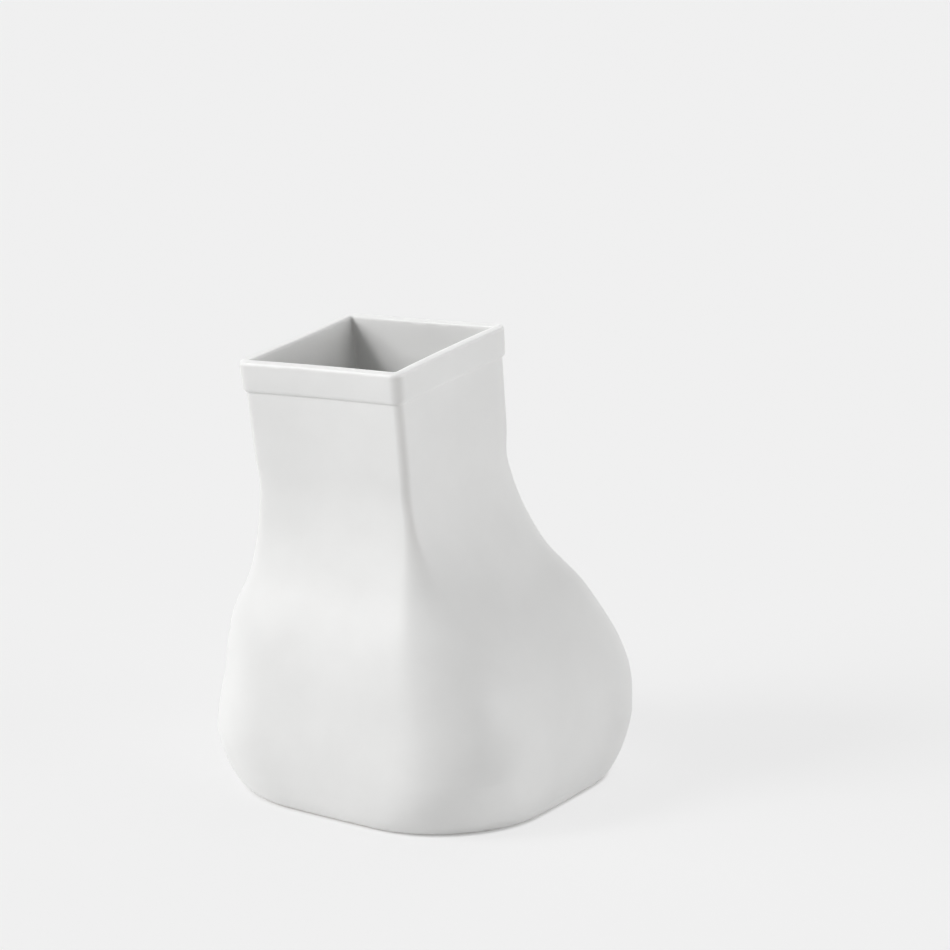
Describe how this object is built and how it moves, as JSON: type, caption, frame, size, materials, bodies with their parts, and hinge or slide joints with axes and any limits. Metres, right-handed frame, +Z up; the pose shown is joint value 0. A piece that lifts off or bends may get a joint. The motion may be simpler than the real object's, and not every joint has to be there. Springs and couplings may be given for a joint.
{
  "type": "vase",
  "caption": "White glazed clay vase with a soft square belly, a square neck that leans over one corner and a banded square mouth, for cut or dried stems.",
  "frame": {"origin": "middle of the foot, on the surface that the vase stands on", "axes": "+Z up; the belly's flat sides face along X and Y, the front towards -Y; the neck leans towards -X and -Y"},
  "size_m": [0.183, 0.183, 0.237],
  "materials": {
    "white_glazed_clay": "satin white glaze over white clay",
    "bare_clay": "fired white clay, glazed on its inner face and wiped bare underneath"
  },
  "bodies": {
    "root": {"front_wall": "white_glazed_clay", "right_wall": "white_glazed_clay", "back_wall": "white_glazed_clay", "left_wall": "white_glazed_clay", "floor_slab": "bare_clay", "front_rim_strip": "white_glazed_clay", "right_rim_strip": "white_glazed_clay", "back_rim_strip": "white_glazed_clay", "left_rim_strip": "white_glazed_clay"}
  },
  "joints": []
}
